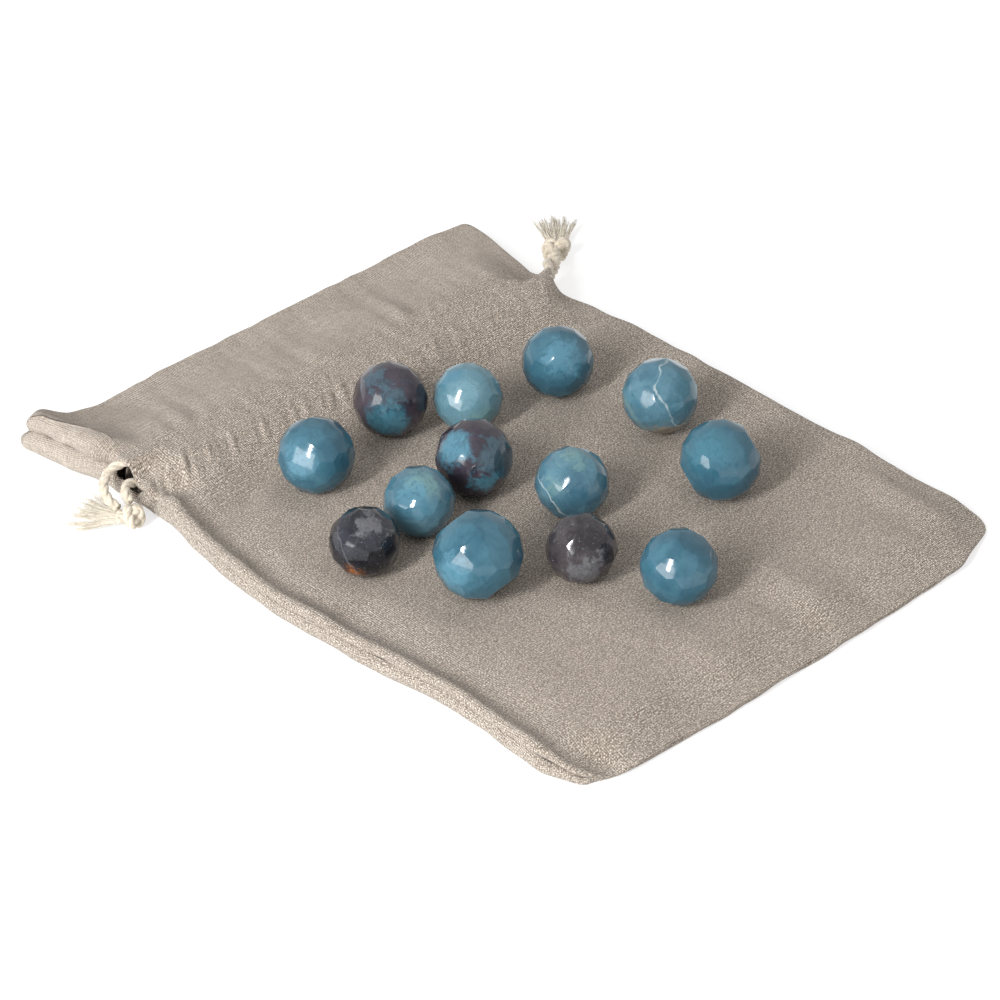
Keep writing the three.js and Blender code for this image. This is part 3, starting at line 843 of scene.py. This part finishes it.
def lip_shape(height, side):
    """Radius and last angle of the rolled edge at each point of the outline."""
    x, y = outline[:, 0], outline[:, 1]
    place = casing_place(x, y)
    beside = np.abs(outline_normal[:, 0]) ** 2
    mouth = ease(outline_normal[:, 1], 0.55, 0.95) * ease(x, -78 * mm, -62 * mm)
    opening_middle = np.where(x < 0, 2.4 * mm, 5.4 * mm)
    half = np.where((x < 0) & (side > 0), 2.4 * mm, 3.6 * mm)
    opening = (1 - ease(np.abs(place - opening_middle), half, half + 1.8 * mm)) * beside
    share = upper_lip + 0.03 * ease(place, 5 * mm, 14 * mm)
    if side < 0:
        share = both_lips - share
    radius = height * share * (1 + 0.07 * ripple(outline_length, 9 * mm, 30 * mm, 41))
    radius = radius + (mouth_lip - radius) * mouth
    open_radius = 0.9 * mm if side > 0 else (2.1 + 1.0 * ease(place, 1.8 * mm, 3.4 * mm)) * mm
    radius = radius + (open_radius - radius) * opening
    last = side_turn + (mouth_turn - side_turn) * mouth
    last = last + (opening_turn - last) * opening
    return radius, last


def panel(name, surface, side, material):
    """A cloth panel whose edges roll over into the seams; side is 1 above and -1 below."""
    probe = outline - outline_normal * 1.4 * mm  # just inside the edge
    edge_top = front_height(probe[:, 0], probe[:, 1])
    radius, last = lip_shape(edge_top, side)
    wander = 0.22 * mm * ripple(outline_length, 12 * mm, 45 * mm, 51 + side)
    drift = np.zeros(len(outline))
    if side < 0:
        left = ease(-outline_normal[:, 0], 0.3, 0.8)
        y = outline[:, 1]
        reach_out = hill(y, -36 * mm, 16 * mm) + hill(y, -90 * mm, 12 * mm)
        drift = left * mm * (0.5 + 0.7 * reach_out)
        drift = drift - 0.5 * mm * ease(-outline_normal[:, 1], 0.5, 0.9)
    outer = outline + outline_normal * (wander + drift)[:, None]
    inner = outer - outline_normal * radius[:, None]

    def edge(side_name, shares):
        start, end = side_places[side_name]
        return start + (end - start) * shares

    places = {key: edge(key, columns if key in ("bottom", "mouth") else row_steps) for key in side_places}
    curves = {key: at(inner, places[key]) for key in places}
    p = columns[None, :, None]
    q = row_steps[:, None, None]
    plan = (1 - p) * curves["left"][:, None] + p * curves["right"][:, None]
    plan = plan + (1 - q) * curves["bottom"][None] + q * curves["mouth"][None]
    plan = plan - (1 - p) * (1 - q) * curves["bottom"][0] - p * (1 - q) * curves["bottom"][-1]
    plan = plan - (1 - p) * q * curves["mouth"][0] - p * q * curves["mouth"][-1]
    flat = plan.reshape(-1, 2)
    heights = surface(flat[:, 0], flat[:, 1])
    points = [np.column_stack([flat, heights])]
    weave = [flat]
    rows, cols = len(row_steps), len(columns)
    index = np.arange(rows * cols).reshape(rows, cols)
    faces = grid_faces(index)

    loop = np.concatenate([index[0, :-1], index[:-1, -1], index[-1, :0:-1], index[:0:-1, 0]])
    around = np.concatenate([
        places["bottom"][:-1], places["right"][:-1], places["mouth"][:0:-1], places["left"][:0:-1],
    ])
    normal, turn, reach = at(outline_normal, around), at(last, around), at(radius, around)
    inward = flat[loop] - normal * 0.3 * mm
    slope = side * (heights[loop] - surface(inward[:, 0], inward[:, 1])) / (0.3 * mm)
    first = math.pi / 2 + np.clip(np.arctan(slope), -0.9, 0.9)
    base = flat[loop] - normal * (reach * np.cos(first))[:, None]
    middle = heights[loop] - side * reach * np.sin(first)
    previous = loop
    for ring in range(1, fold_rings + 1):
        angle = first + (turn - first) * ring / fold_rings
        flat_ring = base + normal * (reach * np.cos(angle))[:, None]
        points.append(np.column_stack([flat_ring, middle + side * reach * np.sin(angle)]))
        weave.append(flat[loop] + normal * (reach * (first - angle))[:, None])
        current = rows * cols + (ring - 1) * len(loop) + np.arange(len(loop))
        after, before = np.roll(current, -1), np.roll(previous, -1)
        faces.extend(zip(previous, current, after, before))
        previous = current
    if side < 0:
        faces = [face[::-1] for face in faces]
    mesh = Mesh()
    mesh.add(np.vstack(points), faces, np.vstack(weave))
    return mesh.make(name, material, cloth_thickness)


def sew(piece, node):
    """Makes the piece part of the pouch, in place of that CAD node."""
    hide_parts(node)
    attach(piece, "pouch")
    return piece


front_cloth = sew(panel("front_cloth", front_height, 1, front_linen), "front_panel")
back_cloth = sew(panel("back_cloth", back_height, -1, back_linen), "back_panel")

# ---- facings and seams


def front_facing_height(x, y):
    """Just under the front cloth, and flat under the cords of the casing."""
    return np.minimum(front_height(x, y) - 1.0 * mm, front_facing_top)


def back_facing_height(x, y):
    """Close to the back cloth, with a rise over the cords and a bunch under the left opening's."""
    place = casing_place(x, y)
    rise = 1 - ease(np.abs(place), 4.9 * mm, 6.7 * mm)
    z = 1.55 * mm + (back_facing_top - 1.55 * mm) * rise + 0.08 * mm * ripple(x, 5 * mm, 16 * mm, 71)
    bunched = ease(place, 1.4 * mm, 2.8 * mm) * (1 - ease(place, 6.2 * mm, 7.6 * mm))
    bunched = bunched * ease(-x, 50 * mm, 62 * mm)
    return z + (8.3 * mm - z) * bunched


front_facing_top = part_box("front_facing")[1].z
back_facing_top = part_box("back_facing")[1].z
facing_thickness = 0.4 * mm
facing_edge = 8.0 * mm  # from the casing's middle to the facings' lower edge
facing_notch = 54.0 * mm  # |X| beyond which the facings leave room for the cords' turns


def facing(name, node, surface):
    """The hem turned in from the mouth, down to just below the lower stitches."""
    p, q = np.meshgrid(np.linspace(0, 1, 190), np.linspace(0, 1, 66))
    level = (52 + 49 * q) * mm
    x = (1 - p) * (left_edge(level) + 3.4 * mm) + p * (right_edge(level) - 2.6 * mm)
    low = casing_middle + casing_skew * x - facing_edge
    y = low + (mouth_edge(x) - 1.1 * mm - low) * q
    y = y + 0.2 * mm * ripple(x, 4 * mm, 11 * mm, 81) * (1 - q)
    flat = np.column_stack([x.ravel(), y.ravel()])
    points = np.column_stack([flat, surface(flat[:, 0], flat[:, 1])])
    index = np.arange(x.size).reshape(x.shape)
    place = casing_place(x, y)
    notch = (np.abs(x) > facing_notch) & (np.abs(place) < 6.3 * mm)
    if surface is back_facing_height:
        notch &= (x > 0) | (place < 1.4 * mm)
    faces = [face for face, out in zip(grid_faces(index), notch[:-1, :-1].ravel()) if not out]
    used = sorted({k for face in faces for k in face})
    renumber = {old: new for new, old in enumerate(used)}
    mesh = Mesh()
    mesh.add(points[used], [tuple(renumber[k] for k in face) for face in faces], flat[used])
    return sew(mesh.make(name, inner_linen, facing_thickness), node)


front_hem = facing("front_hem", "front_facing", front_facing_height)
back_hem = facing("back_hem", "back_facing", back_facing_height)

allowance_width = 5.0 * mm
flap_thickness = 0.35 * mm


def allowance(name, node):
    """Cloth turned in along a seam: two flaps that part from the line of stitches."""
    low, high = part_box(node)
    probe = outline - outline_normal * 3.0 * mm
    margin = 0.6 * mm
    inside = (probe[:, 0] > low.x - margin) & (probe[:, 0] < high.x + margin)
    inside &= (probe[:, 1] > low.y - margin) & (probe[:, 1] < high.y + margin)
    start = int(np.argmax(inside & ~np.roll(inside, 1)))
    ring = [(start + k) % len(outline) for k in range(int(inside.sum()))][::2]
    edge, normal = outline[ring], outline_normal[ring]
    height = front_height(probe[ring, 0], probe[ring, 1])
    along = np.arange(len(ring)) * 0.8 * mm
    width = allowance_width * (1 + 0.05 * ripple(along, 3 * mm, 9 * mm, 91))
    points, places = [], []
    room = np.clip((height - 1.4 * mm) / (4.5 * mm), 0.25, 1.0)
    profile = np.concatenate([np.linspace(1, 0, 9), np.linspace(0, 1, 9)[1:]])
    for k, t in enumerate(profile):
        above = 1 if k < 8 else -1 if k > 8 else 0
        inward = 0.16 * height + 0.9 * mm + width * t
        wave = 0.16 * mm * ripple(along, 6 * mm, 19 * mm, 95 + above) * t
        spread = (0.42 + 0.55 * t) * mm * min(1.0, 4 * t + (0.0 if above == 0 else 0.4))
        z = height / 2 + (above * spread + wave) * room
        points.append(np.column_stack([edge - normal * inward[:, None], z]))
        places.append(np.column_stack([along, np.full(len(ring), above * t) * allowance_width]))
    index = np.arange(len(profile) * len(ring)).reshape(len(profile), len(ring))
    mesh = Mesh()
    mesh.add(np.vstack(points), grid_faces(index), np.vstack(places))
    piece = mesh.make(name, inner_linen, flap_thickness)
    piece.modifiers["thickness"].offset = 0.0
    return sew(piece, node)


seams = [
    allowance(node + "_allowance", node)
    for node in (
        "left_side_seam", "right_side_seam", "bottom_seam", "left_header_seam", "right_header_seam"
    )
]

# ---- stitches

stitch_pitch = 3.2 * mm
thread_radius = 0.20 * mm
stitch_rise = 0.20 * mm
stitch_depth = 0.16 * mm  # how far each stitch's ends sink into the cloth


def stitch_row(name, node, offset, surface):
    """A lockstitched row: a short raised loop of thread at each pitch."""
    low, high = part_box(node)
    mesh = Mesh()
    t = np.linspace(0, 1, 9)
    for start in np.arange(low.x, high.x - stitch_pitch, stitch_pitch):
        x = start + (0.08 + 0.80 * t) * stitch_pitch
        y = casing_middle + casing_skew * x + offset
        z = surface(x, y) + stitch_rise * np.sin(math.pi * t) - stitch_depth
        plied(mesh, np.column_stack([x, y, z]), thread_radius, 1.3 * mm, sides=6)
    return sew(mesh.make(name, sewing_thread), node)


front_rows, back_rows = [
    [
        stitch_row(f"{layer}_{row}_stitches", f"{layer}_{row}_stitching", offset, surface)
        for row, offset in (("lower", -stitch_offset), ("upper", stitch_offset))
    ]
    for layer, surface in (("front", front_height), ("back", back_facing_height))
]

# ---- marbles


def seen(right, up):
    """The place on a unit ball that the camera sees that far right of and above its middle."""
    depth = math.sqrt(max(0.0, 1 - right * right - up * up))
    return tuple(camera_right * right + camera_up * up + to_camera * depth)


def tones(*colours):
    """A stone's light, middle and deep colour."""
    return [rgb(*colour) for colour in colours]


amazonite = tones((84, 122, 137), (62, 99, 116), (42, 75, 93))
pale_amazonite = tones((104, 139, 151), (84, 121, 134), (62, 98, 112))
teal_amazonite = tones((62, 102, 118), (44, 84, 101), (32, 66, 83))
dusk_stone = tones((66, 59, 69), (42, 36, 46), (20, 17, 24))
night_stone = tones((44, 45, 53), (16, 17, 23), (5, 6, 10))
ash_stone = tones((68, 63, 66), (40, 36, 40), (20, 18, 22))
teal, sky, sage = rgb(60, 106, 122), rgb(76, 120, 138), rgb(100, 134, 138)
slate, smoke, white = rgb(64, 84, 95), rgb(92, 92, 96), rgb(166, 178, 180)
cream, rust, mist = rgb(136, 127, 112), rgb(140, 82, 36), rgb(122, 134, 140)

# Each patch is (colour, right, up, size, raggedness), and each vein (colour, right, up, offset,
# width, bend): a plane across the stone that faces that way.
stones = [
    {"body": dusk_stone, "patches": [
        (slate, 0.0, 0.22, 0.34, 1.3), (slate, -0.5, 0.6, 0.25, 1.5), (teal, -0.12, -0.70, 0.58, 0.7),
    ]},
    {"body": pale_amazonite, "patches": [(sky, -0.55, 0.60, 0.35, 0.8), (sage, 0.40, -0.70, 0.45, 0.8)]},
    {"body": dusk_stone, "patches": [
        (slate, 0.72, -0.10, 0.66, 1.1), (sky, -0.56, 0.22, 0.46, 0.7), (teal, 0.34, -0.66, 0.34, 1.1),
    ]},
    {"body": teal_amazonite, "patches": [(sky, -0.45, -0.20, 0.45, 0.9)]},
    {"body": amazonite, "patches": [(sage, 0.10, 0.45, 0.50, 0.9), (sky, -0.20, -0.05, 0.50, 0.8)]},
    {"body": night_stone, "patches": [(smoke, 0.22, 0.55, 0.40, 1.5), (rust, -0.30, -0.88, 0.20, 0.6)],
     "veins": [(smoke, 0.9, 0.3, -0.40, 0.018, 0.7)], "specks": mist},
    {"body": teal_amazonite, "patches": [(sky, -0.58, -0.48, 0.42, 0.8)]},
    {"body": teal_amazonite, "patches": [(sky, 0.15, 0.10, 0.60, 0.9)]},
    {"body": amazonite, "patches": [(teal, 0.80, 0.10, 0.55, 0.6), (cream, 0.10, -0.98, 0.42, 0.7)],
     "veins": [(white, 0.85, 0.20, 0.42, 0.024, 0.60), (sage, 0.80, 0.45, -0.62, 0.10, 0.4)]},
    {"body": teal_amazonite, "patches": [(teal, -0.35, 0.35, 0.50, 0.9)]},
    {"body": amazonite, "patches": [(sage, 0.0, 0.75, 0.35, 0.9), (sage, -0.55, -0.10, 0.22, 0.9)],
     "veins": [(white, 0.75, 0.45, -0.36, 0.028, 0.6)]},
    {"body": ash_stone, "patches": [(smoke, 0.10, -0.62, 0.46, 1.6)], "specks": mist},
    {"body": teal_amazonite, "patches": []},
]
facet_softening = 0.55  # how far the polish has rounded the shading of the facets
worn_edge_width = 1.0 * mm
worn_edge_angle = math.radians(7)  # between facets, above which their edge is worn


def stone(name, centre, radius, look, seed):
    """Polished, clouded stone, with its patches and veins placed about the marble's middle."""
    s = Shader(name)
    place = s.vector("SUBTRACT", s.node("ShaderNodeTexCoord", {}, "Object"), tuple(centre))
    local = s.scaled(place, (1 / radius,) * 3)
    seeded = s.vector("ADD", local, (3.7 * seed, 1.3 * seed, 2.9 * seed))
    drift = s.vector("SUBTRACT", s.noise(seeded, 1.8, 4.0, output=1), (0.5, 0.5, 0.5))
    warped = s.vector("ADD", seeded, s.scaled(drift, (1.1, 1.1, 1.1)))
    cloud = s.noise(warped, 1.3, 4.0, 0.55)
    flecks = s.noise(warped, 6.0, 6.0, 0.68)
    light, middle, deep = look["body"]
    colour = s.mix(s.step(cloud, 0.34, 0.68), middle, light)
    colour = s.mix(s.step(flecks, 0.50, 0.76, 0.0, 0.6), colour, deep)
    colour = s.mix(s.step(s.noise(warped, 22.0, 3.0), 0.56, 0.78, 0.0, 0.22), colour, light)
    for patch, right, up, size, ragged in look["patches"]:
        away = s.vector("DISTANCE", local, seen(right, up))
        rough = s.math("MULTIPLY", s.math("SUBTRACT", s.noise(warped, 2.6, 6.0, 0.66), 0.5), ragged * 1.6)
        share = s.step(s.math("ADD", away, rough), size - 0.20, size + 0.20, 1.0, 0.0)
        colour = s.mix(share, colour, s.mix(s.step(flecks, 0.46, 0.74, 0.0, 0.55), patch, deep))
    for vein, right, up, offset, width, bend in look.get("veins", []):
        level = s.vector("DOT_PRODUCT", local, seen(right, up))
        sway = s.math("MULTIPLY", s.math("SUBTRACT", s.noise(seeded, 1.4, 3.0), 0.5), bend)
        away = s.math("ABSOLUTE", s.math("SUBTRACT", s.math("ADD", level, sway), offset))
        faded = s.step(s.noise(warped, 3.0, 3.0), 0.30, 0.62, 0.35, 0.9)
        colour = s.mix(s.math("MULTIPLY", s.step(away, 0.0, width * 1.6, 1.0, 0.0), faded), colour, vein)
    if "specks" in look:
        dots = s.noise(seeded, 13.0, 3.0, 0.72)
        colour = s.mix(s.step(dots, 0.62, 0.70, 0.0, 0.75), colour, look["specks"])
    wear = s.noise(seeded, 5.0, 4.0)
    outward = s.node(
        "ShaderNodeVectorTransform", {0: place},
        vector_type="NORMAL", convert_from="OBJECT", convert_to="WORLD",
    )
    outward = s.vector("NORMALIZE", outward)
    facet = s.node("ShaderNodeNewGeometry", {}, "Normal")
    soft = s.node("ShaderNodeMix", {0: facet_softening, 4: facet, 5: outward}, 1, data_type="VECTOR")
    return s.finish(
        Base_Color=colour, Roughness=s.step(wear, 0.3, 0.7, 0.07, 0.13), Specular_IOR_Level=0.50,
        Normal=s.bump(s.noise(seeded, 9.0, 3.0), 0.03 * mm, 0.4, Normal=s.vector("NORMALIZE", soft)),
        Subsurface_Weight=0.15, Subsurface_Scale=1.6 * mm, Subsurface_Radius=(0.6, 1.0, 1.1),
    )


for k, ((centre, radius), look) in enumerate(zip(marbles, stones), 1):
    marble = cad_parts[f"marble_{k:02d}"]
    marble.material_slots[0].material = stone(f"marble_{k:02d}_stone", centre, radius, look, k)
    edges = marble.modifiers.new("worn_edges", "BEVEL")
    edges.width = worn_edge_width
    edges.segments = 4
    edges.limit_method = "ANGLE"
    edges.angle_limit = worn_edge_angle
    edges.harden_normals = True

# ---- floor

bpy.ops.mesh.primitive_plane_add(size=floor_size)
floor = bpy.context.object
floor.name = "floor"
paper = Shader("floor_paper")
floor.data.materials.append(paper.finish(
    Base_Color=(floor_grey, floor_grey, floor_grey, 1), Roughness=0.9, Specular_IOR_Level=0.0,
    Emission_Color=(1.0, 1.0, 1.0, 1), Emission_Strength=floor_glow,
))
